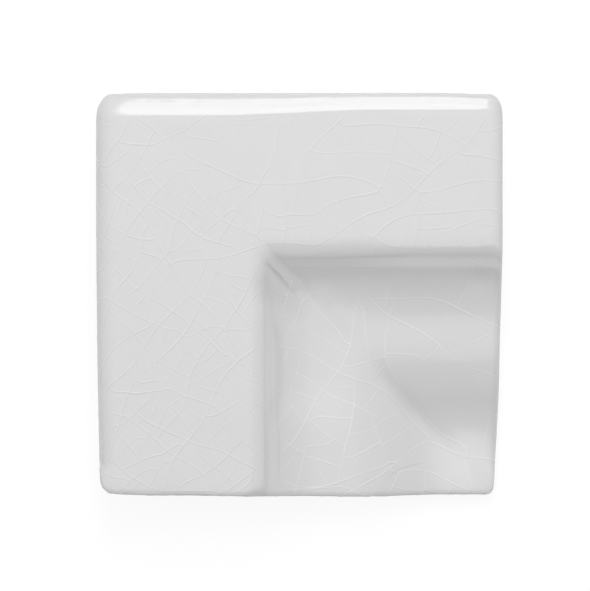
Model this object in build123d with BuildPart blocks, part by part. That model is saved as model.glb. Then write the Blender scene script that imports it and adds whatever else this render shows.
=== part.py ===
from build123d import *
import os
from math import radians, sin, sqrt

# Corner tile of a moulded panel, pressed and fired in one piece.
# It lies on its back: +X is its right side, +Y its top, +Z comes out of the glazed face.
# The origin is the middle of the back.

# Outline
tile_width = 100.0
tile_height = 99.0
tile_thickness = 25.0
corner_radius = 4.0
rim_radius = 3.2
back_chamfer = 0.6

# Flat bands along the left side and the top, up to where the moulding starts to fall
stile_width = 36.0
rail_width = 33.9

# Moulding, from the bands down to the field: the widths in plan of its parts, and their
# steepest tilts from level in degrees
shoulder_width = 5.2
shoulder_tilt = 42.5
foot_radius = 8.0
ledge_length = 1.3
ledge_tilt = 27.5
lip_radius = 5.0
cove_width = 16.2
cove_tilt = 38.5
shelf_tilt = 5.5
roll_width = 16.6
roll_tilt = 26.0

# Level strip of the field between the moulding and the nearer side of the tile
field_width = 9.3

# Strip along the mitre, where the two mouldings are wiped into each other
mitre_width = 3.4

# Keying grooves in the back
groove_width = 5.0
groove_depth = 1.0
groove_pitch = 12.0
groove_margin = 9.0

# Places and lengths that follow from the sizes
stile_edge = stile_width - tile_width / 2
rail_edge = tile_height / 2 - rail_width
past_tile = tile_width + tile_height
mitre_setback = mitre_width / 2
moulding_width = min(tile_width - stile_width, tile_height - rail_width) - field_width
groove_length = tile_width - 2 * groove_margin
groove_count = int((tile_height - 2 * groove_margin - groove_width) // groove_pitch) + 1


def arc_radius(width, tilt, end_tilt=0.0):
    """Radius of the arc that turns from one tilt to another over a width in plan."""
    return width / abs(sin(radians(tilt)) - sin(radians(end_tilt)))


# What the moulding leaves open above it, in section: X runs into the recess, Y up from the bands
with BuildSketch() as moulding_section:
    with BuildLine():
        shoulder = JernArc((0, 0), (1, 0), arc_radius(shoulder_width, shoulder_tilt), -shoulder_tilt)
        foot = JernArc(shoulder @ 1, shoulder % 1, foot_radius, shoulder_tilt - ledge_tilt)
        ledge = Line(foot @ 1, foot @ 1 + ledge_length * (foot % 1))
        lip = JernArc(ledge @ 1, ledge % 1, lip_radius, ledge_tilt - cove_tilt)
        cove_radius = arc_radius(cove_width, cove_tilt, shelf_tilt)
        cove = JernArc(lip @ 1, lip % 1, cove_radius, cove_tilt - shelf_tilt)
        roll_radius = arc_radius(roll_width, roll_tilt, shelf_tilt)
        roll = JernArc(cove @ 1, cove % 1, roll_radius, shelf_tilt - roll_tilt)
        hollow_width = moulding_width - (roll @ 1).X
        hollow = JernArc(roll @ 1, roll % 1, arc_radius(hollow_width, roll_tilt), roll_tilt)
        field = Line(hollow @ 1, hollow @ 1 + Vector(past_tile, 0))
        Polyline(field @ 1, ((field @ 1).X, tile_thickness), (0, tile_thickness), (0, 0))
    make_face()

# The same section stretched across the mitre, where a way in at 45 degrees is longer
with BuildSketch() as mitre_section:
    add(moulding_section.sketch)
    scale(by=(sqrt(2), 1, 1))

# Planes of the sections, each with its X into the recess and its Y up
stile_plane = Plane((stile_edge, 0, tile_thickness), x_dir=(1, 0, 0), z_dir=(0, -1, 0))
rail_plane = Plane((0, rail_edge, tile_thickness), x_dir=(0, -1, 0), z_dir=(-1, 0, 0))
mitre_corner = Vector(stile_edge, rail_edge, tile_thickness)
mitre_way = Vector(1, -1, 0).normalized()
mitre_plane = Plane(mitre_corner + mitre_setback * mitre_way, x_dir=mitre_way, z_dir=(-1, -1, 0))

# Space of the recess: the part that lies inside both mouldings and the mitre strip
with BuildPart() as recess:
    with BuildSketch(stile_plane):
        add(moulding_section.sketch)
    extrude(amount=past_tile, both=True)
    with BuildSketch(rail_plane):
        add(moulding_section.sketch)
    extrude(amount=past_tile, both=True, mode=Mode.INTERSECT)
    with BuildSketch(mitre_plane):
        add(mitre_section.sketch)
    extrude(amount=past_tile, both=True, mode=Mode.INTERSECT)

with BuildPart() as corner_tile:
    with BuildSketch():
        RectangleRounded(tile_width, tile_height, corner_radius)
    extrude(amount=tile_thickness)
    add(recess.part, mode=Mode.SUBTRACT)

    # Glaze rounds the rim all the way, over the bands and the ends of the moulding
    upright = corner_tile.edges().filter_by(Axis.Z)
    back_edges = corner_tile.faces().sort_by(Axis.Z)[0].edges()
    walls = corner_tile.faces().filter_by(lambda face: abs(face.normal_at().Z) < 0.01)
    fillet(walls.edges() - upright - back_edges, rim_radius)
    chamfer(corner_tile.faces().sort_by(Axis.Z)[0].edges(), back_chamfer)

    # Blind grooves with round ends, which the adhesive fills
    with BuildSketch():
        with GridLocations(0, groove_pitch, 1, groove_count):
            SlotOverall(groove_length, groove_width)
    extrude(amount=groove_depth, mode=Mode.SUBTRACT)

corner_tile.part.label = "corner_tile"

os.makedirs("parts", exist_ok=True)
export_step(corner_tile.part, "parts/corner_tile.step")
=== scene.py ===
import logging
import math
import random
from dataclasses import dataclass, field
from enum import Enum
from typing import Any, Optional

import bpy
import numpy as np
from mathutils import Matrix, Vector, kdtree
from mathutils.geometry import delaunay_2d_cdt


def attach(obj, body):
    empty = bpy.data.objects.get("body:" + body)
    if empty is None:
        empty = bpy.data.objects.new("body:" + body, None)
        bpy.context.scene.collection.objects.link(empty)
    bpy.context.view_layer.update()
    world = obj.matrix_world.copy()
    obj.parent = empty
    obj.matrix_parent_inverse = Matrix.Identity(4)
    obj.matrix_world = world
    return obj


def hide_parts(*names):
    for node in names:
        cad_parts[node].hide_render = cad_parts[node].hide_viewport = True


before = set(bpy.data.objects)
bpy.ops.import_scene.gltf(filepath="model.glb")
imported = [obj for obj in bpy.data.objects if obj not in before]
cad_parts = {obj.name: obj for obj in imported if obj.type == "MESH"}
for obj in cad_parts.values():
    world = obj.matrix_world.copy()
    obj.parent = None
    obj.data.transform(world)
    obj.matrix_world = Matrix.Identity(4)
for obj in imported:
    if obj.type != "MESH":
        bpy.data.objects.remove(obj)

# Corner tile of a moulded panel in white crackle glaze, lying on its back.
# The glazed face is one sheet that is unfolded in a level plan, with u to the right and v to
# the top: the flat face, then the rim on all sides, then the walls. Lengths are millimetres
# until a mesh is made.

Array = np.ndarray
Span = tuple[float, float]
MM = 0.001
FULL_TURN = 6.28
LOG = logging.getLogger("corner_tile")
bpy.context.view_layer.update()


def ramp(value: Array, start: float, end: float) -> Array:
    """Rise smoothly from 0 at the start to 1 at the end, and stay level past both."""
    t = np.clip((value - start) / (end - start), 0.0, 1.0)
    return t * t * (3.0 - 2.0 * t)


def soft_min(first: Array, second: Array, blend: Array) -> Array:
    """Take the smaller of two values, rounded where they differ by less than the blend."""
    overlap = np.maximum(blend - np.abs(first - second), 0.0) / blend
    return np.minimum(first, second) - overlap * overlap * blend / 4.0


def unit(vectors: Array) -> Array:
    """Scale vectors along the last axis to length 1."""
    return vectors / np.maximum(np.linalg.norm(vectors, axis=-1, keepdims=True), 1e-12)


def lattice(across: Array, along: Array) -> Array:
    """Give the place of every pair of two rows of numbers."""
    return np.stack(np.meshgrid(across, along, indexing="ij"), axis=-1)


def triangulate(loops: list[Array], lines: list[Array], loose: list[Array],
                weld: float) -> tuple[Array, Array]:
    """Triangulate a plan inside its outer loop.

    Args:
        loops: Closed runs of points, with the outer one first.
        lines: Open runs. All runs stay edges of the triangles.
        loose: Points between them.
        weld: Distance within which two points become one.

    Returns:
        Places in plan, and triangles as their numbers.
    """
    edges: list[list[int]] = []
    start = 0
    for number, run in enumerate(loops + lines):
        places = np.arange(len(run))
        pairs = np.stack([places, (places + 1) % len(run)], axis=1) + start
        edges += (pairs if number < len(loops) else pairs[:-1]).tolist()
        start += len(run)
    points = np.concatenate(loops + lines + loose).tolist()
    LOG.info("triangulating %d points with %d edges", len(points), len(edges))
    result = delaunay_2d_cdt([Vector(point) for point in points], edges,
                             [list(range(len(loops[0])))], 1, weld)
    return np.array([tuple(point) for point in result[0]]), np.array(result[2])


def read(items: Any, name: str, width: int = 0, kind: Any = np.float32) -> Array:
    """Read one property of all items of a mesh, a number each or a row of some width."""
    values = np.empty(len(items) * max(width, 1), kind)
    items.foreach_get(name, values)
    return values.reshape(-1, width).astype(float) if width else values


def store(mesh: bpy.types.Mesh, name: str, domain: str, values: Array) -> None:
    """Store numbers or vectors on a mesh under a name."""
    kind, slot = ("FLOAT", "value") if values.ndim == 1 else ("FLOAT_VECTOR", "vector")
    layer = mesh.attributes.new(name, kind, domain)
    layer.data.foreach_set(slot, values.astype(np.float32).ravel())


def stand(name: str, data: Any) -> bpy.types.Object:
    """Make an object from some data and put it in the scene."""
    thing = bpy.data.objects.new(name, data)
    bpy.context.scene.collection.objects.link(thing)
    return thing


# Shader and geometry nodes, written as expressions


class Value:
    """A number in a node tree that takes the usual operators.

    Args:
        tree: The tree that the number lives in.
        socket: The output that gives it.
    """

    def __init__(self, tree: "Nodes", socket: Any) -> None:
        self.tree = tree
        self.socket = socket

    def _math(self, operation: str, *others: Any) -> "Value":
        """Add a Math node on this number and the others."""
        return self.tree.math(operation, self, *others)

    def __add__(self, other: Any) -> "Value":
        """Add another number, from either side."""
        return self._math("ADD", other)

    def __sub__(self, other: Any) -> "Value":
        """Take another number away."""
        return self._math("SUBTRACT", other)

    def __rsub__(self, other: Any) -> "Value":
        """Be taken from a plain number."""
        return self.tree.math("SUBTRACT", other, self)

    def __mul__(self, other: Any) -> "Value":
        """Multiply by another number, from either side."""
        return self._math("MULTIPLY", other)

    def __truediv__(self, other: Any) -> "Value":
        """Divide by another number."""
        return self._math("DIVIDE", other)

    def most(self, other: Any) -> "Value":
        """Take the larger of this and another number."""
        return self._math("MAXIMUM", other)

    def clamp(self) -> "Value":
        """Keep the number from 0 to 1."""
        return self._math("MINIMUM", 1.0)._math("MAXIMUM", 0.0)
    __radd__ = __add__
    __rmul__ = __mul__


@dataclass(frozen=True)
class Grain:
    """Unevenness of a finish: waves to a metre, their detail and its strength."""

    scale: float
    detail: float
    strength: float = 1.0


class Nodes:
    """Makes the nodes of one tree.

    Args:
        tree: The tree to fill.
    """

    def __init__(self, tree: bpy.types.NodeTree) -> None:
        self.tree = tree

    def add(self, kind: str, settings: Optional[dict[str, Any]] = None,
            **sockets: Any) -> bpy.types.Node:
        """Add a node.

        Args:
            kind: Type of the node.
            settings: Its properties, which are set first.
            **sockets: Values or links of its inputs, named with _ for a space, or in1, in2 and
                so on by place.

        Returns:
            The node.
        """
        node = self.tree.nodes.new(kind)
        for name, value in (settings or {}).items():
            setattr(node, name, value)
        for name, value in sockets.items():
            by_place = name[:2] == "in" and name[2:].isdigit()
            place = int(name[2:]) if by_place else name.replace("_", " ")
            self.put(value, node.inputs[place])
        return node

    def put(self, value: Any, socket: bpy.types.NodeSocket) -> None:
        """Set one input, or link it to a number, a socket or the first output of a node."""
        if isinstance(value, Value):
            value = value.socket
        if isinstance(value, bpy.types.Node):
            value = value.outputs[0]
        if isinstance(value, bpy.types.NodeSocket):
            self.tree.links.new(value, socket)
        else:
            socket.default_value = value

    def math(self, operation: str, *values: Any) -> Value:
        """Add a Math node and give its result."""
        sockets = {f"in{place}": value for place, value in enumerate(values)}
        node = self.add("ShaderNodeMath", {"operation": operation}, **sockets)
        return Value(self, node.outputs[0])

    def noise(self, grain: Grain, vector: Any) -> Value:
        """Add a Noise Texture and give its factor."""
        node = self.add("ShaderNodeTexNoise", Vector=vector, Scale=grain.scale,
                        Detail=grain.detail)
        return Value(self, node.outputs[0])

    def blend(self, factor: Any, first: Any, second: Any) -> bpy.types.NodeSocket:
        """Blend two colours by a factor."""
        node = self.add("ShaderNodeMix", {"data_type": "RGBA"}, in0=factor, in6=first, in7=second)
        return node.outputs[2]

    def attribute(self, name: str) -> Value:
        """Read a number that is stored on the mesh."""
        node = self.add("ShaderNodeAttribute", {"attribute_name": name})
        return Value(self, node.outputs["Fac"])


def grey(level: float) -> tuple[float, float, float, float]:
    """Give a neutral colour."""
    return (level, level, level, 1.0)


# Shape of the glazed face


@dataclass(frozen=True)
class Rise:
    """Amount that comes in smoothly between two places."""

    amount: float
    start: float
    end: float

    def at(self, place: Array) -> Array:
        """Give the part that has come in at some places."""
        return self.amount * ramp(place, self.start, self.end)

    def left(self, place: Array) -> Array:
        """Give the part that is still to come in at some places."""
        return self.amount * (1.0 - ramp(place, self.start, self.end))


@dataclass(frozen=True)
class Swell:
    """Amount that comes in smoothly between two places, and goes between two later ones."""

    amount: float
    start: float
    full: float
    fade: float
    end: float

    def at(self, place: Array, share: Any = 1.0) -> Array:
        """Give the part that is in at some places, for the share of it that each takes."""
        part = ramp(place, self.start, self.full) - ramp(place, self.fade, self.end)
        return self.amount * share * part


@dataclass(frozen=True)
class Bow:
    """Amount that grows as a power of the way past a start, until the most ways are passed."""

    amount: float
    start: float
    reach: float
    power: float
    most: float = 1.2

    def at(self, place: Array) -> Array:
        """Give its size at some places."""
        way = np.clip((place - self.start) / self.reach, 0.0, self.most)
        return self.amount * way ** self.power


@dataclass(frozen=True)
class Patch:
    """Round place with a soft edge, where craze cells grow by a factor or cracks are calmed."""

    u: float
    v: float
    reach_u: float
    reach_v: float
    growth: float

    def share(self, u: Array, v: Array) -> Array:
        """Give 1 at the middle of the patch, down to 0 far from it."""
        aside, beyond = (u - self.u) / self.reach_u, (v - self.v) / self.reach_v
        return np.exp(-aside ** 2 - beyond ** 2)


@dataclass(frozen=True)
class Moulding:
    """Section of the panel moulding, from the flat bands down to the field.

    Widths are in plan, and tilts are degrees from level.
    """

    shoulder_width: float = 5.6
    shoulder_tilt: float = 42.5
    foot_radius: float = 3.5
    ledge_length: float = 1.92
    ledge_tilt: float = 27.5
    lip_radius: float = 5.0
    cove_width: float = 15.4
    cove_tilt: float = 38.5
    shelf_tilt: float = 5.5
    shelf_width: float = 1.6
    roll_width: float = 15.8
    roll_tilt: float = 26.0
    width: float = 57.0

    def runs(self) -> list[tuple[float, float, float]]:
        """List the arcs and runs of the section as first tilt, last tilt and width."""
        shoulder, ledge, cove = (math.sin(math.radians(tilt)) for tilt in
                                 (self.shoulder_tilt, self.ledge_tilt, self.cove_tilt))
        foot_width = self.foot_radius * abs(shoulder - ledge)
        ledge_width = self.ledge_length * math.cos(math.radians(self.ledge_tilt))
        lip_width = self.lip_radius * abs(ledge - cove)
        runs = [(0.0, self.shoulder_tilt, self.shoulder_width),
                (self.shoulder_tilt, self.ledge_tilt, foot_width),
                (self.ledge_tilt, self.ledge_tilt, ledge_width),
                (self.ledge_tilt, self.cove_tilt, lip_width),
                (self.cove_tilt, self.shelf_tilt, self.cove_width),
                (self.shelf_tilt, self.shelf_tilt, self.shelf_width),
                (self.shelf_tilt, self.roll_tilt, self.roll_width)]
        hollow_width = self.width - sum(run[2] for run in runs)
        return runs + [(self.roll_tilt, 0.0, hollow_width)]

    def fall(self, depth: Array) -> Array:
        """Work out how far the moulding has fallen at some distances in from the flat band."""
        fallen = np.zeros_like(depth)
        start = 0.0
        for first, last, width in self.runs():
            along = np.clip(depth - start, 0.0, width)
            sine, end_sine = math.sin(math.radians(first)), math.sin(math.radians(last))
            if first == last:
                fallen += along * math.tan(math.radians(first))
            else:
                radius = width / (end_sine - sine)
                now = sine + along / radius
                fallen += radius * (math.cos(math.radians(first)) - np.sqrt(1.0 - now * now))
            start += width
        return fallen


@dataclass(frozen=True)
class Outline:
    """Plan of the tile, with the unevenness of hand pressing.

    Bows and rises draw the sides in, and a slack lets them out. A dent has a middle and a reach.
    """

    width: float = 100.0
    height: float = 99.0
    rim_widths: Span = (4.8, 6.8)
    wall_run: float = 12.0
    corner_powers: tuple[float, float, float, float] = (2.6, 3.3, 4.2, 8.0)
    arc_run: float = 1.6
    reach: float = 18.0
    left_bow: Bow = Bow(0.93, -25.6, 70.9, 1.9, 1.1)
    right_bow: Bow = Bow(0.85, 26.0, 19.4, 1.5)
    right_slack: float = 0.27
    right_dent: float = 0.2
    right_dent_at: Span = (-1.0, 8.0)
    foot_rise: Rise = Rise(1.03, -30.0, 20.0)
    foot_slack: float = 0.77
    foot_bow: Bow = Bow(0.5, 36.0, 12.0, 1.5)
    top_height: float = 0.66
    top_ends: tuple[Rise, Rise] = (Rise(0.26, 35.0, 45.0), Rise(0.2, 38.0, 46.0))
    top_run: float = 1.6
    foot_lip: float = 0.3
    foot_lip_run: float = 0.6

    @property
    def half(self) -> tuple[float, float]:
        """Half sizes of the face inside the rim."""
        return self.width / 2 - self.rim_widths[0], self.height / 2 - self.rim_widths[1]

    @property
    def rim_run(self) -> float:
        """Length of the rim in the unfolded plan."""
        return max(self.rim_widths) * math.pi / 2

    @property
    def edge_run(self) -> float:
        """Length of the rim and the wall in the unfolded plan."""
        return self.rim_run + self.wall_run

    def split(self, u: Array, v: Array) -> tuple[Array, ...]:
        """Split places of the plan into the nearest one of the face, the way out and how far."""
        half_u, half_v = self.half
        face_u, face_v = np.clip(u, -half_u, half_u), np.clip(v, -half_v, half_v)
        out_u, out_v = u - face_u, v - face_v
        top, right = out_v > 0, out_u > 0
        powers = self.corner_powers
        power = np.where(top, np.where(right, powers[1], powers[0]),
                         np.where(right, powers[3], powers[2]))
        away = (np.abs(out_u) ** power + np.abs(out_v) ** power) ** (1.0 / power)
        safe = np.maximum(away, 1e-9)
        return face_u, face_v, out_u / safe, out_v / safe, away

    def ring(self, away: float, spacing: float) -> Array:
        """Give a loop of spaced points at one distance out from the face, counter-clockwise."""
        half_u, half_v = self.half
        points: list[Span] = []
        quarter = np.linspace(0.0, math.pi / 2, max(4, int(away * self.arc_run / spacing)) + 1)
        for side_u, side_v, corner, way in ((1, 1, 1, 1), (-1, 1, 0, -1), (-1, -1, 2, 1),
                                            (1, -1, 3, -1)):
            power = self.corner_powers[corner]
            for angle in quarter[::way]:
                along, across = math.cos(angle), math.sin(angle)
                size = (along ** power + abs(across) ** power) ** (1.0 / power)
                points.append((side_u * (half_u + away * along / size),
                               side_v * (half_v + away * across / size)))
        filled: list[Array] = []
        for start, end in zip(points, points[1:] + points[:1]):
            start, span = np.array(start), np.array(end) - np.array(start)
            steps = max(1, int(round(np.linalg.norm(span) / spacing)))
            filled += [start + span * step / steps for step in range(steps)]
        return np.array(filled)

    def warp(self, x: Array, y: Array) -> tuple[Array, Array]:
        """Move places of the true outline by the unevenness of its sides."""
        half_width, half_height = self.width / 2, self.height / 2
        middle, reach = self.right_dent_at
        dent = self.right_dent * np.exp(-((y - middle) / reach) ** 2)
        right = self.right_bow.at(-y) - self.right_slack - dent
        foot = self.foot_rise.at(x) - self.foot_slack - self.foot_bow.at(-x)
        top = self.top_height - self.top_ends[0].at(x) - self.top_ends[1].at(-x)
        near_left = ramp(-x, half_width - self.reach, half_width)
        near_right = ramp(x, half_width - self.reach, half_width)
        near_foot = ramp(-y, half_height - self.reach, half_height)
        lip = self.foot_lip * ramp(-y, half_height - self.foot_lip_run, half_height)
        near_top = ramp(y, half_height - self.top_run, half_height)
        y_moved = y - foot * near_foot - lip + top * near_top
        return x + self.left_bow.at(-y) * near_left - right * near_right, y_moved


@dataclass(frozen=True)
class GlazedFace:
    """The whole glazed sheet as a smooth surface over the unfolded plan.

    What hand work changes in the fall runs over the way in from the bands. The spans say where on
    its side of the mitre, or from what place on, a change comes in.
    """

    outline: Outline = Outline()
    moulding: Moulding = Moulding()
    thickness: float = 25.0
    chamfer: float = 0.6
    stile_width: float = 36.0
    rail_width: float = 33.9
    mitre_width: float = 3.4
    mitre_end: Rise = Rise(0.85, 14.0, 28.0)
    crease: float = 0.6
    top_crease: Rise = Rise(2.8, 4.0, 14.0)
    wipe: Rise = Rise(11.0, 10.0, 20.0)
    wipe_end: Rise = Rise(8.0, 28.0, 38.0)
    stile_slack: Rise = Rise(1.2, 0.0, 10.0)
    stile_stretches: tuple[Rise, Rise] = (Rise(2.2, 9.0, 34.0), Rise(1.2, 38.0, 52.0))
    stile_flare: Bow = Bow(1.3, 46.3, 2.6, 2.0, 1.3)
    stile_flare_end: Rise = Rise(1.0, 2.0, 8.0)
    rail_sag: Rise = Rise(0.6, 0.0, 33.0)
    rail_sag_end: Rise = Rise(1.0, 4.5, 18.0)
    rail_curl: Bow = Bow(1.0, 46.6, 3.2, 2.0, 1.3)
    rail_curl_end: Rise = Rise(1.0, 8.0, 16.0)
    near_spans: tuple[Span, Span] = ((2.0, 22.0), (0.0, 14.0))
    near_swell: Swell = Swell(-0.15, 25.0, 33.0, 37.0, 55.0)
    plain_spans: tuple[Span, Span] = ((10.0, 27.0), (0.0, 6.0))
    plain_swell: Swell = Swell(0.5, 5.5, 8.8, 9.0, 21.0)
    stile_span: Span = (4.0, 26.0)
    stile_swell: Swell = Swell(-1.2, 11.0, 32.0, 35.0, 55.0)
    upper_spans: tuple[Span, Span] = ((-34.0, -22.0), (3.0, 20.0))
    upper_swell: Swell = Swell(1.0, 4.5, 11.0, 15.0, 36.0)
    rail_span: Span = (0.0, 7.0)
    rail_swell: Swell = Swell(-0.25, 2.5, 6.5, 14.0, 44.0)
    end_rise: Rise = Rise(1.0, 16.0, 26.0)
    end_bow: Bow = Bow(1.0, 0.0, 3.2, 2.0, 1.0)
    end_height: float = 0.3
    ridge_across: Swell = Swell(1.0, -2.0, -1.3, 1.1, 2.2)
    ridge_along: Swell = Swell(-0.12, 7.0, 11.0, 12.0, 17.0)
    ridge_offset: float = 0.475
    dimple: float = 0.32
    dimple_at: Span = (44.4, 4.2)
    dimple_reach: float = 1.7
    rim_drop: float = 3.2
    rim_power: float = 2.0
    top_power: float = 0.35
    top_power_rise: Rise = Rise(1.05, -20.0, 22.0)
    right_power: float = 0.85
    right_power_rise: Rise = Rise(0.75, -14.0, -2.0)
    foot_power: float = 8.0
    wave_height: float = 0.012
    wave_scale: float = 20.0
    wave_count: int = 22
    wave_lengths: Span = (7.0, 34.0)
    wave_calm: Rise = Rise(0.9, 38.0, 43.0)
    wave_seed: int = 11

    def waves(self) -> list[tuple[float, float, float, float]]:
        """List the low waves of the glaze as two wave numbers, a phase and a height."""
        rng = random.Random(self.wave_seed)
        waves = []
        for _ in range(self.wave_count):
            length, heading = rng.uniform(*self.wave_lengths), rng.uniform(0.0, math.pi)
            number, size = 2 * math.pi / length, self.wave_height * length / self.wave_scale
            waves.append((number * math.cos(heading), number * math.sin(heading),
                          rng.uniform(0.0, 2 * math.pi), size))
        return waves

    def ways_in(self, x: Array, y: Array) -> tuple[Array, Array]:
        """Work out how far in places are from the stile and the rail of the hand-cut mould."""
        from_stile = x - (self.stile_width - self.outline.width / 2)
        from_rail = (self.outline.height / 2 - self.rail_width) - y
        from_stile = from_stile - self.stile_slack.left(from_stile)
        wide, far = (stretch.at(from_stile) for stretch in self.stile_stretches)
        from_stile = from_stile + wide + far
        flare = self.stile_flare.at(-y) * self.stile_flare_end.left(from_stile)
        sag = self.rail_sag.amount - self.rail_sag.at(x)
        from_rail = from_rail - sag * self.rail_sag_end.left(from_rail)
        from_rail = from_rail - self.rail_curl.at(x) * self.rail_curl_end.left(from_rail)
        return from_stile + flare, from_rail

    def height(self, x: Array, y: Array) -> Array:
        """Work out the height of the face over the bed, without the rim.

        Args:
            x: Places to the right.
            y: Places to the top.

        Returns:
            The heights.
        """
        from_stile, from_rail = self.ways_in(x, y)
        middle = (from_stile + from_rail) / 2
        depth = soft_min(from_stile, from_rail, self.crease + self.top_crease.left(middle))
        loss = self.mitre_width / math.sqrt(8.0) * (1.0 - self.mitre_end.at(middle))
        depth = soft_min(depth, middle - loss, self.crease)
        wiped = self.crease + self.wipe.at(middle) - self.wipe_end.at(middle)
        depth = np.minimum(depth, soft_min(from_stile, from_rail, wiped))
        depth = np.maximum(depth, 0.0)
        past_mitre = from_stile - from_rail
        rail_near, stile_near = self.near_spans
        near = 1.0 - np.maximum(ramp(past_mitre, *rail_near), ramp(-past_mitre, *stile_near))
        depth = depth + self.near_swell.at(depth, near)
        plain = np.maximum(1.0 - ramp(x, *self.plain_spans[0]),
                           ramp(-past_mitre, *self.plain_spans[1]))
        stile, rail = ramp(-past_mitre, *self.stile_span), ramp(past_mitre, *self.rail_span)
        upper = ramp(y, *self.upper_spans[0]) * ramp(-past_mitre, *self.upper_spans[1])
        fall = self.moulding.fall(depth)
        for swell, share in ((self.plain_swell, plain), (self.stile_swell, stile),
                             (self.upper_swell, upper), (self.rail_swell, rail)):
            fall = fall + swell.at(depth, share)
        fall = fall - self.end_height * rail * self.end_rise.at(x) * self.end_bow.at(depth)
        across = (past_mitre - self.ridge_offset) / math.sqrt(2.0)
        fall = fall + self.ridge_along.at(middle, self.ridge_across.at(across))
        aside, beyond = x - self.dimple_at[0], y - self.dimple_at[1]
        away = (aside ** 2 + beyond ** 2) / (2 * self.dimple_reach ** 2)
        z = self.thickness - (fall + self.dimple * np.exp(-away))
        calm = 1.0 - self.wave_calm.at(y)
        for number_x, number_y, phase, size in self.waves():
            z = z + calm * size * np.sin(number_x * x + number_y * y + phase)
        return z

    def place(self, u: Array, v: Array) -> Array:
        """Fold places of the unfolded plan into space."""
        shape = self.outline
        face_u, face_v, way_u, way_v, away = shape.split(u, v)
        turn = np.sin(np.clip(away / shape.rim_run, 0.0, 1.0) * math.pi / 2)
        top = self.top_power + self.top_power_rise.at(face_u)
        right = self.right_power + self.right_power_rise.at(-face_v)
        sharp = self.rim_power + top * np.maximum(way_v, 0.0) ** 2
        sharp = sharp + self.foot_power * np.maximum(-way_v, 0.0)
        sharp = sharp + right * np.maximum(way_u, 0.0) ** 2
        drop = self.rim_drop * (1.0 - np.maximum(1.0 - turn ** sharp, 0.0) ** (1.0 / sharp))
        x = face_u + shape.rim_widths[0] * turn * way_u
        y = face_v + shape.rim_widths[1] * turn * way_v
        down = np.clip((away - shape.rim_run) / shape.wall_run, 0.0, 1.0)
        z = (self.height(x, y) - drop) * (1.0 - down) + self.chamfer * down
        x, y = shape.warp(x, y)
        return np.stack([x, y, z], axis=-1)

    def normals(self, u: Array, v: Array, step: float = 0.02) -> Array:
        """Work out the unit normals at places of the unfolded plan, a step to all sides."""
        along = self.place(u + step, v) - self.place(u - step, v)
        across = self.place(u, v + step) - self.place(u, v - step)
        return unit(np.cross(along, across))


# Craze lines of the glaze


class Zone(Enum):
    """Parts of the face whose glaze is crazed in different ways."""

    STILE = 0
    RAIL = 1
    RECESS = 2


PATCHES: tuple[Patch, ...] = (
    Patch(-13.5, -16.0, 5.5, 4.5, 0.3),
    Patch(-40.0, 23.0, 8.0, 8.0, 0.8),
    Patch(-42.0, 42.0, 7.0, 6.0, 1.4),
    Patch(-2.0, 37.0, 24.0, 8.0, 1.9),
    Patch(15.0, 21.0, 20.0, 4.0, 0.7),
    Patch(38.0, -28.0, 14.0, 16.0, 2.2),
)


@dataclass(frozen=True)
class CrazeHabit:
    """How the glaze of one zone cracks, and from what share of its cell on a crack is long."""

    cell: float
    headings: tuple[float, ...]
    first_share: float
    crossing: float


HABITS: dict[Zone, CrazeHabit] = {
    Zone.STILE: CrazeHabit(cell=4.8, headings=(45.0, -42.0), first_share=2.08, crossing=0.5),
    Zone.RAIL: CrazeHabit(cell=6.2, headings=(4.0,), first_share=2.24, crossing=0.25),
    Zone.RECESS: CrazeHabit(cell=6.0, headings=(-30.0, 75.0), first_share=2.4, crossing=0.15),
}


@dataclass(frozen=True)
class CrackKind:
    """How long and how strong the long or the short cracks are, and how they run."""

    crossing: float
    longest: float
    fading: float
    spread: float
    force: Span


LONG = CrackKind(crossing=1.0, longest=90.0, fading=0.002, spread=0.16, force=(0.8, 1.05))
SHORT = CrackKind(crossing=0.3, longest=30.0, fading=0.012, spread=0.14, force=(0.45, 0.95))


@dataclass(frozen=True)
class Seam:
    """Crease that the mould leaves along the moulding or at the foot, as points of the plan."""

    depth: float
    knots: tuple[Span, ...]


SEAMS: tuple[Seam, ...] = (
    Seam(0.8, ((21.6, -46.0), (24.0, -43.6), (27.4, -42.5), (31.5, -41.8))),
    Seam(1.3, ((-8.5, 8.4), (-6.0, 6.0), (-2.9, 3.0))),
    Seam(1.1, ((-8.2, 8.7), (-5.7, 6.3), (-3.6, 4.2))),
    Seam(0.45, ((-3.6, 9.2), (8.0, 9.3), (16.0, 9.7), (27.0, 9.9))),
    Seam(0.5, ((-3.2, 6.9), (10.0, 6.9), (22.0, 7.1), (28.0, 7.2))),
    Seam(0.3, ((-8.5, 2.0), (-8.3, -14.0), (-8.4, -30.0), (-8.3, -46.0))),
    Seam(0.35, ((-7.0, -8.0), (-7.1, -16.0), (-6.9, -29.0))),
    Seam(0.4, ((-6.0, -4.0), (-5.5, -12.0), (-5.4, -26.0), (-4.9, -36.0), (-5.0, -47.0))),
)


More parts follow.
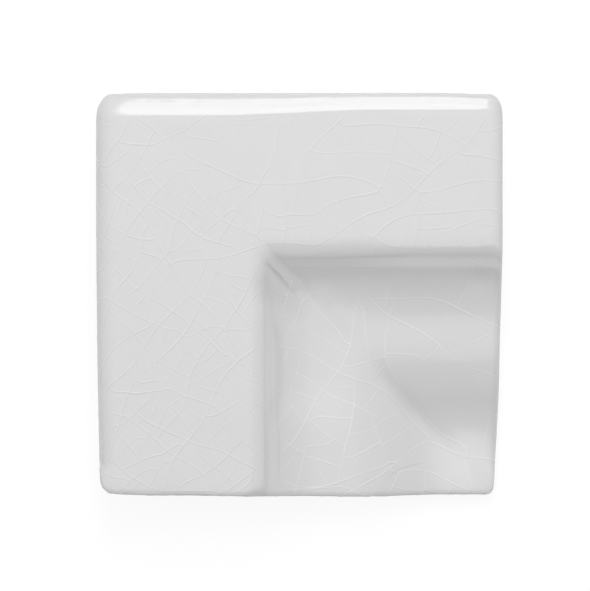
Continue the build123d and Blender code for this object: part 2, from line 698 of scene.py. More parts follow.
@dataclass
class CrazeNet:
    """Network of hairline cracks, grown one after another as a cooling glaze does.

    Long cracks come first. Each later one halves the widest cell, and meets older cracks square.
    """

    face: GlazedFace
    seed: int = 4
    pitch: float = 0.5
    step: float = 0.5
    half_line: float = 0.28
    tries: int = 2600
    far: float = 40.0
    shortest: float = 1.2
    jitter: Span = (0.75, 1.15)
    start_jitter: float = 0.2
    wall_growth: float = 0.5
    cove_growth: float = 0.9
    cove: tuple[Span, Span] = ((-2.0, 22.0), (-20.0, 0.0))
    bend: float = 0.022
    sway: float = 0.05
    sway_run: float = 4.0
    pull: float = 0.22
    pull_reach: float = 2.4
    pull_turn: float = 1.3
    meeting: float = 0.75
    free_run: float = 2.5
    mark_reach: float = 9.0
    foot_margin: float = 1.0
    clear_share: float = 0.9
    force_sway: Span = (0.76, 0.24)
    force_run: Span = (2.0, 5.0)
    end_force: Span = (0.45, 0.55)
    end_run: float = 1.5
    steep_calm: float = 0.7
    steep_start: Span = (1.0, 4.0)
    steep_end: Span = (8.0, 6.0)
    steep_fade: float = 4.0
    rim_calm: Rise = Rise(1.0, 42.5, 45.0)
    wall_return: Rise = Rise(0.6, 51.5, 56.0)
    wedge: Patch = Patch(36.0, -22.0, 13.0, 8.0, 0.8)
    seam_run: float = 3.0
    seam_power: float = 0.7
    lines: list[Array] = field(default_factory=list)
    strengths: list[Array] = field(default_factory=list)

    def __post_init__(self) -> None:
        """Set up the map of distances to the nearest crack."""
        shape = self.face.outline
        reach_u, reach_v = (half + shape.edge_run for half in shape.half)
        self.low = np.array([-reach_u, -reach_v])
        counts = (int(2 * reach_u / self.pitch) + 1, int(2 * reach_v / self.pitch) + 1)
        self.cells = lattice(*(np.arange(count) * self.pitch for count in counts)) + self.low
        u, v = self.cells[..., 0], self.cells[..., 1]
        away = shape.split(u, v)[4]
        self.inside = away < shape.edge_run - self.foot_margin
        self.distance = np.full(counts, 1e3)
        self.nearest = np.zeros(counts + (2,))
        self.rng = random.Random(self.seed)
        jitter = np.random.default_rng(self.seed).uniform(*self.jitter, counts)
        self.zones = np.where(v > shape.height / 2 - self.face.rail_width, Zone.RAIL.value,
                              Zone.RECESS.value)
        self.zones[u < self.face.stile_width - shape.width / 2] = Zone.STILE.value
        target = np.empty(counts)
        for zone, habit in HABITS.items():
            target[self.zones == zone.value] = habit.cell
        walls = self.wall_growth * ramp(away, shape.rim_run, shape.edge_run)
        cove = ramp(u, *self.cove[0]) * ramp(v, *self.cove[1]) * (self.zones == Zone.RECESS.value)
        self.wanted = target * (1.0 + walls + self.cove_growth * cove) / jitter
        for patch in PATCHES:
            self.wanted *= patch.growth ** patch.share(u, v)

    def _look(self, point: Array) -> tuple[int, int]:
        """Find the map cell of a place."""
        place = np.rint((point - self.low) / self.pitch).astype(int)
        return (min(max(place[0], 0), self.distance.shape[0] - 1),
                min(max(place[1], 0), self.distance.shape[1] - 1))

    def _trace(self, start: Array, heading: float, crossing: float,
               kind: CrackKind) -> list[Array]:
        """Follow one crack from its start until it meets another or leaves the tile.

        Args:
            start: Where it starts.
            heading: Direction in radians.
            crossing: Chance that it runs across a crack instead of stopping there.
            kind: How long it gets, and how soon it dies out.

        Returns:
            Its points after the start.
        """
        points: list[Array] = []
        point = start.copy()
        bend, sway = self.rng.gauss(0.0, self.bend), self.rng.uniform(0.0, FULL_TURN)
        free = 0.0
        for count in range(int(kind.longest / self.step)):
            heading += self.step * (bend + self.sway * math.sin(sway + count * self.step
                                                                / self.sway_run))
            place = self._look(point)
            gap, near = self.distance[place], self.nearest[place]
            if free <= 0.0 and gap < self.pull_reach and count > 2:
                toward = math.atan2(near[1] - point[1], near[0] - point[0])
                turn = (toward - heading + math.pi) % (2 * math.pi) - math.pi
                if abs(turn) < self.pull_turn:
                    heading += self.pull * turn
            point = point + self.step * np.array([math.cos(heading), math.sin(heading)])
            place = self._look(point)
            if not self.inside[place]:
                break
            met = self.distance[place] < self.meeting * self.step
            if free <= 0.0 and met and count > 1:
                if self.rng.random() < crossing:
                    free = self.free_run
                else:
                    points.append(self.nearest[place].copy())
                    break
            free -= self.step
            points.append(point.copy())
            if self.rng.random() < kind.fading:
                break
        return points

    def _mark(self, line: Array) -> None:
        """Enter a crack in the map of distances."""
        reach = int(self.mark_reach / self.pitch)
        for point in line:
            row, column = self._look(point)
            around = (slice(max(row - reach, 0), row + reach + 1),
                      slice(max(column - reach, 0), column + reach + 1))
            gap = np.linalg.norm(self.cells[around] - point, axis=-1)
            closer = gap < self.distance[around]
            self.distance[around][closer] = gap[closer]
            self.nearest[around][closer] = point

    def grow(self) -> None:
        """Grow cracks until no cell is much larger than wanted."""
        tried = np.zeros(self.distance.shape, bool)
        for _ in range(self.tries):
            room = np.minimum(self.distance, self.far) / self.wanted
            room = np.where(self.inside & ~tried, room, 0.0)
            best = np.unravel_index(int(np.argmax(room)), room.shape)
            share = 2.0 * room[best]
            if share < 1.0:
                break
            habit = HABITS[Zone(int(self.zones[best]))]
            aside = [self.rng.uniform(-self.start_jitter, self.start_jitter) for _ in range(2)]
            start = self.cells[best] + np.array(aside)
            near = self.nearest[best]
            heading = math.atan2(near[1] - start[1], near[0] - start[0])
            kind = LONG if share > habit.first_share else SHORT
            if kind is LONG:
                square = heading
                heading = max(map(math.radians, habit.headings),
                              key=lambda angle: abs(math.cos(angle - square)))
            heading += self.rng.gauss(0.0, kind.spread)
            crossing = kind.crossing * habit.crossing
            back = self._trace(start, heading + math.pi, crossing, kind)
            ahead = self._trace(start, heading, crossing, kind)
            line = np.array(back[::-1] + [start] + ahead)
            tried[best] = True
            if len(line) * self.step < self.shortest:
                continue
            self._mark(line)
            self.lines.append(line)
            self.strengths.append(self.rng.uniform(*kind.force) * self._fade(line))

    def _fade(self, line: Array) -> Array:
        """Vary a crack's strength along it, with weaker ends.

        Args:
            line: Points of the crack.

        Returns:
            Shares of its force, which are calm on the steep moulding, in the shaded wedge of its
            low end and on the top rim.
        """
        along = np.arange(len(line)) * self.step
        ends = np.minimum(np.minimum(along, along[-1] - along) / self.end_run, 1.0)
        phase = self.rng.uniform(0.0, FULL_TURN)
        swing = np.sin(phase + along / self.rng.uniform(*self.force_run))
        force = self.force_sway[0] + self.force_sway[1] * swing
        force = force * (self.end_force[0] + self.end_force[1] * ends)
        u, v = line[:, 0], line[:, 1]
        from_stile, from_rail = self.face.ways_in(u, v)
        depth = np.minimum(from_stile, from_rail)
        gentle = self.steep_end[0] + self.steep_end[1] * (from_stile > from_rail)
        steep = ramp(depth, *self.steep_start) - ramp(depth, gentle, gentle + self.steep_fade)
        rim = 1.0 - self.rim_calm.at(v) + self.wall_return.at(v)
        wedge = 1.0 - self.wedge.growth * self.wedge.share(u, v)
        return force * (1.0 - self.steep_calm * steep) * rim * wedge

    def add_seams(self, seams: tuple["Seam", ...]) -> None:
        """Add the creases of the mould, which the cracks pay no heed to."""
        for seam in seams:
            knots = np.array(seam.knots)
            spans = np.linalg.norm(np.diff(knots, axis=0), axis=1)
            reach = np.concatenate([[0.0], np.cumsum(spans)])
            along = np.linspace(0.0, reach[-1], int(reach[-1] / self.step) + 1)
            line = np.stack([np.interp(along, reach, knots[:, axis]) for axis in (0, 1)], axis=1)
            ends = np.minimum(along, along[-1] - along)
            ends = np.minimum(ends / self.seam_run, 1.0) ** self.seam_power
            self.lines.append(line)
            self.strengths.append(-seam.depth * ends)

    def lift(self, points: Array) -> tuple[Array, Array]:
        """Work out how high the lip of the nearest crack stands at some places.

        Args:
            points: Places of the unfolded plan.

        Returns:
            Heights, 1 for the strongest lip and below 0 in a crease, and the distance to the
            nearest line.
        """
        starts = np.concatenate([line[:-1] for line in self.lines])
        ends = np.concatenate([line[1:] for line in self.lines])
        force = np.concatenate([strength[:-1] for strength in self.strengths])
        tree = kdtree.KDTree(len(starts))
        for place, middle in enumerate((starts + ends) / 2):
            tree.insert((middle[0], middle[1], 0.0), place)
        tree.balance()
        distance, height = np.empty(len(points)), np.empty(len(points))
        for place, point in enumerate(points):
            near = [found[1] for found in tree.find_n((point[0], point[1], 0.0), 6)]
            span = ends[near] - starts[near]
            along = np.sum((point - starts[near]) * span, axis=1)
            along = np.clip(along / np.maximum(np.sum(span * span, axis=1), 1e-9), 0.0, 1.0)
            gaps = np.linalg.norm(starts[near] + along[:, None] * span - point, axis=1)
            distance[place] = gaps.min()
            rise = np.clip(1.0 - gaps / self.half_line, 0.0, 1.0) * force[near]
            height[place] = rise[np.argmax(np.abs(rise))]
        return height, distance

    def banks(self) -> list[Array]:
        """List the lines at both feet of the lips, left out where cracks meet."""
        banks: list[Array] = []
        for line in self.lines:
            way = unit(np.gradient(line, axis=0))
            side = np.stack([-way[:, 1], way[:, 0]], axis=1) * self.half_line
            banks += [line + side, line - side]
        every = np.concatenate(banks)
        clear = self.lift(every)[1] > self.clear_share * self.half_line
        kept: list[Array] = []
        for bank, free in zip(banks, np.split(clear, np.cumsum([len(bank) for bank in banks]))):
            cuts = np.flatnonzero(np.diff(free)) + 1
            kept += [run for run, is_clear in zip(np.split(bank, cuts), np.split(free, cuts))
                     if is_clear[0] and len(run) > 1]
        return kept


# Finishes


@dataclass(frozen=True)
class PaintedLightPool:
    """Round spot of painted light in the glaze colour, or of painted shade where its gain is below 0.
    """

    x: float
    y: float
    reach: float
    gain: float


@dataclass(frozen=True)
class CrackleGlaze:
    """Glossy white crackle glaze over a pale fired body that shows bare near the bed."""

    slot: str = "white_crackle_glaze"
    white: float = 0.84
    clay: tuple[float, float, float] = (0.66, 0.61, 0.55)
    clay_shade: float = 0.86
    glaze_roughness: float = 0.02
    clay_roughness: float = 0.85
    bare_height: float = 1.6
    bare_sway: float = 1.4
    bare_blend: float = 3.0
    band_height: float = 24.6
    # Painted highlight along the crack cores below the flat bands.
    core_gain: float = 0.08
    # Painted highlight on the lip sides that face the painted light heading, and painted shadow on
    # the other sides.
    lip_gain: float = 0.10
    painted_lip_shadow: float = 0.12
    # Painted shade in the mould's creases.
    painted_crease_shade: float = 0.12
    # Painted light on the low field at the lower right, and painted shade in the moulding near its
    # mitre.
    painted_light_pools: tuple[PaintedLightPool, ...] = (
        PaintedLightPool(41.5, -41.5, 12.0, 0.09),
        PaintedLightPool(-6.8, 3.2, 7.0, -0.12),
        PaintedLightPool(-0.8, -0.8, 7.0, -0.11),
    )
    cell_spread: float = 0.004
    speck_loss: float = 0.22
    speck_scale: float = 230.0
    speck_sharpness: float = 16.0
    speck_patches: Grain = Grain(60.0, 1.0, 9.0)
    speck_share: float = 0.52
    sway: Grain = Grain(70.0, 2.0)
    cloud: Grain = Grain(28.0, 3.0, 0.012)
    fine: Grain = Grain(1100.0, 2.0, 0.03)
    grit: Grain = Grain(900.0, 4.0)
    dull: Grain = Grain(160.0, 2.0, 0.012)
    ripple: Grain = Grain(420.0, 1.0, 0.015)
    bump: Span = (0.25, 0.0001)

    def material(self) -> bpy.types.Material:
        """Make the material, with bare clay under a wavy line close to the bed."""
        material = bpy.data.materials.new(self.slot)
        material.use_nodes = True
        nodes = Nodes(material.node_tree)
        shader = material.node_tree.nodes["Principled BSDF"]
        spot = nodes.add("ShaderNodeTexCoord").outputs["Object"]
        split = nodes.add("ShaderNodeSeparateXYZ", Vector=spot)
        x, y, z = (Value(nodes, split.outputs[axis]) / MM for axis in "XYZ")
        sway = 0.5 - nodes.noise(self.sway, spot)
        line = (z - self.bare_height) + sway * (2.0 * self.bare_sway)
        glazed = (line * self.bare_blend + 0.5).clamp()
        painted_lip_light, craze = nodes.attribute("craze_painted_light"), nodes.attribute("craze")
        # Painted highlight: crack cores below the flat bands are painted lighter.
        recess = (self.band_height - z).clamp()
        # Painted light: lip sides facing the painted light heading are painted lighter and the others
        # painted darker, as the highlight and shadow of each crack.
        light = 1.0 + craze.most(0.0) * (recess * self.core_gain) + painted_lip_light.most(0.0) * self.lip_gain
        light = light - (0.0 - painted_lip_light).most(0.0) * self.painted_lip_shadow
        # Painted shade: the mould's creases, where the craze lift is below 0, are painted darker.
        light = light - (0.0 - craze).most(0.0) * self.painted_crease_shade
        # Painted light and shade: round spots where the colour is painted lighter or darker.
        for light_pool in self.painted_light_pools:
            aside, beyond = x - light_pool.x, y - light_pool.y
            share = (1.0 - (aside * aside + beyond * beyond) / light_pool.reach ** 2).clamp()
            light = light + share * share * light_pool.gain
        cell = nodes.attribute("cell_tint") * self.cell_spread
        cloud = (nodes.noise(self.cloud, spot) - 0.5) * self.cloud.strength
        light = light * (1.0 + cell + cloud) * self.white
        fine = (nodes.noise(self.fine, spot) - 0.5) * self.fine.strength
        pores = nodes.add("ShaderNodeTexVoronoi", Vector=spot, Scale=self.speck_scale)
        pore = (1.0 - Value(nodes, pores.outputs["Distance"]) * self.speck_sharpness).clamp()
        patches = nodes.noise(self.speck_patches, spot) - self.speck_share
        pore = pore * (patches * self.speck_patches.strength).clamp()
        light = light * (1.0 + fine) * (1.0 - pore * self.speck_loss)
        white = nodes.add("ShaderNodeCombineColor", Red=light, Green=light, Blue=light)
        grit = nodes.noise(self.grit, spot)
        dark = (*(self.clay_shade * part for part in self.clay), 1.0)
        colour = nodes.blend(glazed, nodes.blend(grit, dark, (*self.clay, 1.0)), white)
        gloss = self.glaze_roughness + nodes.noise(self.dull, spot) * self.dull.strength
        rough = glazed * gloss + (1.0 - glazed) * self.clay_roughness
        ripple = nodes.noise(self.ripple, spot) * self.ripple.strength
        relief = grit * (1.0 - glazed) + ripple * glazed
        bump = nodes.add("ShaderNodeBump", Strength=self.bump[0], Distance=self.bump[1],
                         Height=relief)
        nodes.put(colour, shader.inputs["Base Color"])
        nodes.put(rough, shader.inputs["Roughness"])
        nodes.put(bump, shader.inputs["Normal"])
        return material


@dataclass(frozen=True)
class WhiteFloor:
    """Floor that the camera and the gloss see white, with a faint shadow of the tile."""

    albedo: float = 0.8
    seen_albedo: float = 0.2
    glow: float = 0.86

    def material(self) -> bpy.types.Material:
        """Make the material, pale for the light and near white for the eye."""
        material = bpy.data.materials.new("white_floor")
        material.use_nodes = True
        material.node_tree.nodes.clear()
        nodes = Nodes(material.node_tree)
        rays = nodes.add("ShaderNodeLightPath").outputs
        seen = Value(nodes, rays["Is Camera Ray"]).most(Value(nodes, rays["Is Glossy Ray"]))
        seen = seen.most(Value(nodes, rays["Is Transmission Ray"]))
        glow = nodes.add("ShaderNodeEmission", Color=grey(1.0), Strength=self.glow)
        veil = nodes.add("ShaderNodeBsdfDiffuse", Color=grey(self.seen_albedo))
        white = nodes.add("ShaderNodeAddShader", in0=glow, in1=veil)
        plain = nodes.add("ShaderNodeBsdfDiffuse", Color=grey(self.albedo))
        mixed = nodes.add("ShaderNodeMixShader", in0=seen, in1=plain, in2=white)
        below = nodes.add("ShaderNodeNewGeometry").outputs["Backfacing"]
        clear = nodes.add("ShaderNodeBsdfTransparent")
        sided = nodes.add("ShaderNodeMixShader", in0=below, in1=mixed, in2=clear)
        nodes.add("ShaderNodeOutputMaterial", Surface=sided)
        return material


# The tile


@dataclass(frozen=True)
class KeyingBack:
    """Back of the tile, with blind grooves that the adhesive fills."""

    groove_width: float = 5.0
    groove_depth: float = 1.0
    groove_pitch: float = 12.0
    groove_length: float = 82.0
    groove_count: int = 7
    end_steps: int = 10

    def rim(self) -> Array:
        """Give the loop round one groove, counter-clockwise about its middle."""
        radius = self.groove_width / 2
        reach = self.groove_length / 2 - radius
        angles = np.linspace(-math.pi / 2, math.pi / 2, self.end_steps + 1)
        right = np.stack([reach + radius * np.cos(angles), radius * np.sin(angles)], axis=1)
        return np.concatenate([right, -right])

    def cup(self) -> bpy.types.Object:
        """Make one groove as an open cup, to be welded into a hole of the back."""
        rim = self.rim()
        count = len(rim)
        low = np.column_stack([rim, np.zeros(count)])
        high = np.column_stack([rim, np.full(count, self.groove_depth)])
        faces = [(place, place + count, (place + 1) % count + count, (place + 1) % count)
                 for place in range(count)]
        faces.append(tuple(range(2 * count - 1, count - 1, -1)))
        mesh = bpy.data.meshes.new("groove_cup")
        mesh.from_pydata((np.concatenate([low, high]) * MM).tolist(), [], faces)
        return stand("groove_cup", mesh)

    def plate(self, edge: Array) -> tuple[Array, Array]:
        """Fill the back inside its edge, leaving the grooves open.

        Args:
            edge: Loop of the plate's edge, counter-clockwise from above.

        Returns:
            Points in plan, the edge's own first, and triangles that face the bed.
        """
        middles = (np.arange(self.groove_count) - (self.groove_count - 1) / 2) * self.groove_pitch
        grooves = [self.rim() + (0.0, middle) for middle in middles]
        places, triangles = triangulate([edge] + grooves, [], [], 1e-6)
        centres = places[triangles].mean(axis=1)
        reach = (self.groove_length - self.groove_width) / 2
        across = np.abs(centres[:, 1][:, None] - middles[None, :])
        past = np.maximum(np.abs(centres[:, 0]) - reach, 0.0)
        open_groove = (np.hypot(across, past[:, None]) < self.groove_width / 2).any(axis=1)
        return places, triangles[~open_groove][:, ::-1]


@dataclass
class CornerTile:
    """The tile: its crazed and glazed face, its walls and its keyed back.

    The grid is finer where the moulding turns fast, along its shoulder and its mitre strip.
    """

    face: GlazedFace = GlazedFace()
    back: KeyingBack = KeyingBack()
    glaze: CrackleGlaze = CrackleGlaze()
    lip_height: float = 0.022
    spacing: float = 1.2
    ring_spacing: float = 0.96
    rim_levels: int = 10
    wall_levels: tuple[float, ...] = (0.25, 0.5, 0.75)
    fine_spacing: float = 0.6
    fine_start: Span = (-15.0, 17.0)
    shoulder: float = 6.0
    shoulder_reach: float = 5.5
    strip_reach: float = 4.0
    strip_end: float = 18.0
    flat_lift: float = 0.25
    tint_seed: int = 7
    # Heading in plan of the painted light and shadow on the craze lips.
    painted_light_heading: tuple[float, float, float] = (-0.3, 0.954, 0.0)
    least_tilt: float = 0.1

    def plan_points(self, net: CrazeNet) -> Array:
        """Give the points that carry the smooth shape between the cracks.

        Args:
            net: The cracks, whose neighbourhood is kept free.

        Returns:
            Places of the unfolded plan.
        """
        shape = self.face.outline
        half_u, half_v = shape.half
        across = np.linspace(-half_u, half_u, int(2 * half_u / self.spacing) + 1)
        along = np.linspace(-half_v, half_v, int(2 * half_v / self.spacing) + 1)
        grid = lattice(across, along).reshape(-1, 2)
        rims = [shape.ring(shape.rim_run * level / self.rim_levels, self.ring_spacing)
                for level in range(1, self.rim_levels)]
        walls = [shape.ring(shape.rim_run + shape.wall_run * level, self.spacing)
                 for level in self.wall_levels]
        left, top = self.fine_start
        fine = lattice(np.arange(left, half_u, self.fine_spacing),
                       np.arange(-half_v, top, self.fine_spacing)).reshape(-1, 2)
        from_stile, from_rail = self.face.ways_in(fine[:, 0], fine[:, 1])
        depth = np.minimum(from_stile, from_rail)
        edge = np.abs(depth - self.shoulder) < self.shoulder_reach
        strip = (np.abs(from_stile - from_rail) < self.strip_reach) & (from_stile < self.strip_end)
        grid_depth = np.minimum(*self.face.ways_in(grid[:, 0], grid[:, 1]))
        grid = grid[np.abs(grid_depth - self.shoulder) > self.shoulder_reach]
        points = np.concatenate([grid, fine[(edge | strip) & (from_stile > 0)]] + rims + walls)
        return points[net.lift(points)[1] > 2.0 * net.half_line]

    def shell(self) -> bpy.types.Object:
        """Make the closed tile but for its grooves, with the craze lips still flat.

        Returns:
            The shell with its named attributes.
        """
        net = CrazeNet(self.face)
        net.grow()
        net.add_seams(SEAMS)
        shape = self.face.outline
        loops = [shape.ring(run, self.ring_spacing) for run in (shape.edge_run, shape.rim_run)]
        plan, skin = triangulate(loops, net.lines + net.banks(), [self.plan_points(net)], 1e-5)
        u, v = plan[:, 0], plan[:, 1]
        points, normals = self.face.place(u, v), self.face.normals(u, v)
        lift = net.lift(plan)[0]
        edge = np.flatnonzero(shape.split(u, v)[4] > shape.edge_run - 1e-3)
        edge = edge[np.argsort(np.arctan2(plan[edge, 1], plan[edge, 0]))]
        inner = points[edge].copy()
        way = inner[:, :2] - np.roll(inner[:, :2], 1, axis=0)
        way = unit(way + np.roll(way, -1, axis=0))
        inner[:, 0] -= way[:, 1] * self.face.chamfer
        inner[:, 1] += way[:, 0] * self.face.chamfer
        flat, plate = self.back.plate(inner[:, :2])
        count, rim = len(points), len(edge)
        foot = np.arange(rim) + count
        next_edge, next_foot = np.roll(edge, -1), np.roll(foot, -1)
        chamfer = np.concatenate([np.stack([edge, foot, next_foot], axis=1),
                                  np.stack([edge, next_foot, next_edge], axis=1)])
        bed = np.column_stack([flat, np.zeros(len(flat))])
        mesh = bpy.data.meshes.new("tile_shell")
        mesh.from_pydata((np.concatenate([points, bed]) * MM).tolist(), [],
                         np.concatenate([skin, chamfer, plate + count]).tolist())
        store(mesh, "craze", "POINT", np.concatenate([lift, np.zeros(len(bed))]))
        store(mesh, "skin_normal", "POINT", np.concatenate([normals, np.zeros((len(bed), 3))]))
        is_skin, tint = np.zeros(len(mesh.polygons)), np.zeros(len(mesh.polygons))
        is_skin[:len(skin)] = 1.0
        tint[:len(skin)] = self.cell_tints(skin, lift, count)
        store(mesh, "skin", "FACE", is_skin)
        store(mesh, "cell_tint", "FACE", tint)
        return stand("tile_shell", mesh)

    def cell_tints(self, skin: Array, lift: Array, count: int) -> Array:
        """Give each craze cell its own slight shade.

        Args:
            skin: Triangles of the glazed sheet.
            lift: Lip heights of its points.
            count: Number of its points.

        Returns:
            One number from -1 to 1 for each triangle.
        """
        parent = list(range(count))

        def find(item: int) -> int:
            """Find the mark of the group that a point belongs to."""
            while parent[item] != item:
                parent[item] = parent[parent[item]]
                item = parent[item]
            return item

        low = (lift < self.flat_lift)[skin].all(axis=1)
        for triangle in skin[low].tolist():
            root = find(triangle[0])
            for corner in triangle[1:]:
                parent[find(corner)] = root
        marks = np.array([find(item) for item in range(count)])
        shades = np.random.default_rng(self.tint_seed).uniform(-1.0, 1.0, count)
        return np.where(low, shades[marks[skin[:, 0]]], 0.0)

    def relief_tree(self) -> bpy.types.NodeTree:
        """Build the tree that raises the craze lips and repeats the grooves.

        Returns:
            The tree, with named inputs for its sizes.
        """
        tree = bpy.data.node_groups.new("glaze_relief", "GeometryNodeTree")
        for name, kind in (("Shell", "Geometry"), ("Lip Height", "Float"),
                           ("Groove Cup", "Object"), ("Groove Count", "Int"),
                           ("Groove Pitch", "Float"), ("Glaze", "Material")):
            tree.interface.new_socket(name, in_out="INPUT", socket_type=f"NodeSocket{kind}")
        tree.interface.new_socket("Tile", in_out="OUTPUT", socket_type="NodeSocketGeometry")
        nodes = Nodes(tree)
        given = nodes.add("NodeGroupInput").outputs
        craze = nodes.add("GeometryNodeInputNamedAttribute", {"data_type": "FLOAT"}, Name="craze")
        normal = nodes.add("GeometryNodeInputNamedAttribute", {"data_type": "FLOAT_VECTOR"},
                           Name="skin_normal")
        rise = Value(nodes, craze.outputs[0]) * Value(nodes, given["Lip Height"])
        offset = nodes.add("ShaderNodeVectorMath", {"operation": "SCALE"}, Vector=normal, Scale=rise)
        raised = nodes.add("GeometryNodeSetPosition", Geometry=given["Shell"], Offset=offset)
        pitch = Value(nodes, given["Groove Pitch"])
        first = (Value(nodes, given["Groove Count"]) - 1.0) * pitch * -0.5
        start = nodes.add("ShaderNodeCombineXYZ", Y=first)
        stride = nodes.add("ShaderNodeCombineXYZ", Y=pitch)
        row = nodes.add("GeometryNodeMeshLine", Count=given["Groove Count"],
                        Start_Location=start, Offset=stride)
        cup = nodes.add("GeometryNodeObjectInfo", Object=given["Groove Cup"])
        cups = nodes.add("GeometryNodeInstanceOnPoints", Points=row, Instance=cup.outputs["Geometry"])
        real = nodes.add("GeometryNodeRealizeInstances", Geometry=cups)
        joined = nodes.add("GeometryNodeJoinGeometry")
        nodes.put(real, joined.inputs[0])
        nodes.put(raised, joined.inputs[0])
        welded = nodes.add("GeometryNodeMergeByDistance", Geometry=joined, Distance=1e-6)
        realized = nodes.add("GeometryNodeRealizeInstances", Geometry=welded)
        glazed = nodes.add("GeometryNodeSetMaterial", Geometry=realized, Material=given["Glaze"])
        nodes.add("NodeGroupOutput", Tile=glazed)
        return tree

    def relief(self, shell: bpy.types.Object, material: bpy.types.Material) -> bpy.types.Mesh:
        """Run the tree on the shell, and give the plain mesh that it makes."""
        cup = self.back.cup()
        modifier = shell.modifiers.new("glaze_relief", "NODES")
        modifier.node_group = self.relief_tree()
        values = {"Lip Height": self.lip_height * MM, "Groove Cup": cup,
                  "Groove Count": self.back.groove_count,
                  "Groove Pitch": self.back.groove_pitch * MM, "Glaze": material}
        for item in modifier.node_group.interface.items_tree:
            if item.name in values:
                modifier[item.identifier] = values[item.name]
        graph = bpy.context.evaluated_depsgraph_get()
        mesh = bpy.data.meshes.new_from_object(shell.evaluated_get(graph), depsgraph=graph)
        shell.modifiers.remove(modifier)
        bpy.data.objects.remove(shell)
        bpy.data.objects.remove(cup)
        return mesh

    def shade(self, mesh: bpy.types.Mesh) -> None:
        """Give the mesh the true normals of the glaze, tilted on the craze lips.

        Args:
            mesh: The tile, as triangles and the bottoms of the cups.
        """
        points = read(mesh.vertices, "co", 3)
        corner = read(mesh.loops, "vertex_index", kind=np.int32)
        sizes = read(mesh.polygons, "loop_total", kind=np.int32)
        starts = read(mesh.polygons, "loop_start", kind=np.int32)
        own = read(mesh.polygons, "normal", 3)
        craze = read(mesh.attributes["craze"].data, "value")
        glazed = read(mesh.attributes["skin"].data, "value") > 0.5
        smooth = read(mesh.attributes["skin_normal"].data, "vector", 3)
        flat = points - smooth * (craze * self.lip_height * MM)[:, None]
        of_face = np.repeat(np.arange(len(sizes)), sizes)
        threes = corner[starts[:, None] + np.arange(3)[None, :]]
        before, after = (unit(np.cross(spots[threes[:, 1]] - spots[threes[:, 0]],
                                       spots[threes[:, 2]] - spots[threes[:, 0]]))
                         for spots in (flat, points))
        tilt = np.where(glazed[:, None], after - before, 0.0)
        normals = np.where(glazed[of_face][:, None], unit(smooth[corner] + tilt[of_face]),
                           own[of_face])
        # Painted light and shade: each lip face is marked by how far its tilt faces the painted light
        # heading, 1 for painted highlight and -1 for painted shadow.
        full = self.lip_height / CrazeNet.half_line
        painted_lip_light = np.clip(tilt @ np.array(self.painted_light_heading) / full, -1.0, 1.0)
        painted_lip_light = painted_lip_light * (np.linalg.norm(tilt, axis=1) > self.least_tilt * full)
        painted_lip_light = np.where(craze[threes].mean(axis=1) < 0.0, 0.0, painted_lip_light)
        store(mesh, "craze_painted_light", "FACE", painted_lip_light)
        mesh.polygons.foreach_set("use_smooth", np.ones(len(sizes), bool))
        mesh.normals_split_custom_set(normals.tolist())
        for name in ("skin_normal", "skin"):
            mesh.attributes.remove(mesh.attributes[name])

    def build(self) -> None:
        """Make and dress the tile."""
        mesh = self.relief(self.shell(), self.glaze.material())
        self.shade(mesh)
        mesh.name = "crackle_tile"
        piece = stand("crackle_tile", mesh)
        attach(piece, "root")
        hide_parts("corner_tile")
        mesh.calc_loop_triangles()
        LOG.info("%s: %d triangles", piece.name, len(mesh.loop_triangles))


# The studio


@dataclass(frozen=True)
class Lamp:
    """One soft box, aimed at the tile. Metres and watts."""

    name: str
    place: tuple[float, float, float]
    size: tuple[float, float]
    power: float

    def build(self, aim: Vector) -> None:
        """Make the soft box and turn it to its aim."""
        light = bpy.data.lights.new(self.name, "AREA")
        light.shape = "RECTANGLE"
        light.size, light.size_y = self.size
        light.energy = self.power
        lamp = stand(self.name, light)
        lamp.location = self.place
        lamp.rotation_mode = "QUATERNION"
        lamp.rotation_quaternion = (aim - Vector(self.place)).to_track_quat("-Z", "Y")


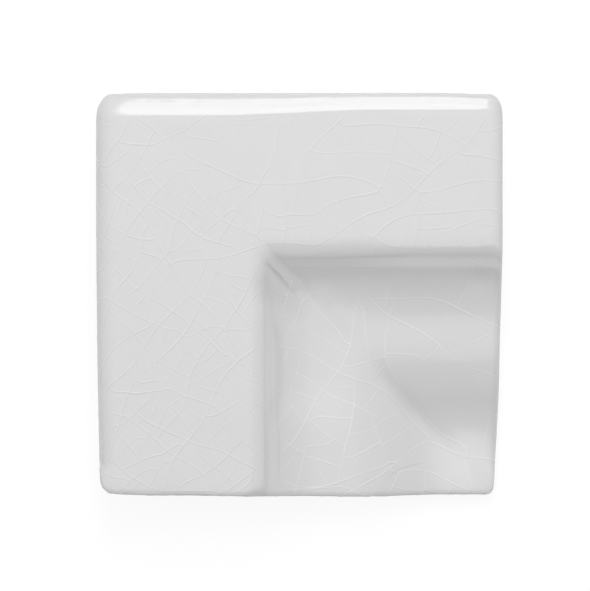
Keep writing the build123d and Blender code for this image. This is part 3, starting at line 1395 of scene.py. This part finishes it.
@dataclass(frozen=True)
class Studio:
    """Floor, light and the camera that looks straight down."""

    lamps: tuple[Lamp, ...] = (
        Lamp("strip_box", (0.0043, 0.397, 0.571), (0.1765, 0.483), 1.2),
        Lamp("wide_box", (0.0, 0.45, 0.55), (1.2, 0.6), 1.01),
        Lamp("overhead_box", (0.0, 0.0, 1.3), (1.4, 1.4), 5.85),
        Lamp("left_box", (-0.7, 0.0, 0.5), (0.6, 0.8), 0.82),
        Lamp("right_box", (0.7, 0.0, 0.5), (0.6, 0.8), 0.82),
    )
    aim: tuple[float, float, float] = (0.0, 0.0, 0.02)
    sky: float = 0.155
    floor_size: float = 3.0
    frame_pixels: float = 591.0
    tile_pixels: float = 407.3
    tile_width: float = 0.1
    shift_pixels: tuple[float, float] = (-3.8, 0.8)
    distance: float = 0.7
    face_height: float = 0.025
    sensor: float = 36.0

    def floor(self) -> None:
        """Lay the floor."""
        half = self.floor_size / 2
        mesh = bpy.data.meshes.new("floor")
        mesh.from_pydata([(-half, -half, 0), (half, -half, 0), (half, half, 0), (-half, half, 0)],
                         [], [(0, 1, 2, 3)])
        mesh.materials.append(WhiteFloor().material())
        stand("floor", mesh)

    def camera(self) -> None:
        """Set up the camera, so that the tile lies in its frame as in the photo's."""
        pixel = self.tile_width / self.tile_pixels
        lens = bpy.data.cameras.new("camera")
        lens.sensor_width = self.sensor
        lens.lens = self.sensor * self.distance / (self.frame_pixels * pixel)
        camera = stand("camera", lens)
        camera.location = (self.shift_pixels[0] * pixel, self.shift_pixels[1] * pixel,
                           self.face_height + self.distance)
        bpy.context.scene.camera = camera
        bpy.context.scene.camera = camera

    def build(self) -> None:
        """Set up everything that isn't the tile."""
        scene = bpy.context.scene
        scene.view_settings.view_transform = "Standard"
        world = bpy.data.worlds.new("studio")
        world.use_nodes = True
        sky = world.node_tree.nodes["Background"]
        sky.inputs["Color"].default_value = grey(1.0)
        sky.inputs["Strength"].default_value = self.sky
        scene.world = world
        self.floor()
        for lamp in self.lamps:
            lamp.build(Vector(self.aim))
        self.camera()


def main() -> None:
    """Build the studio and the tile."""
    logging.basicConfig(level=logging.INFO, format="%(name)s: %(message)s")
    Studio().build()
    CornerTile().build()


if __name__ == "__main__":
    main()
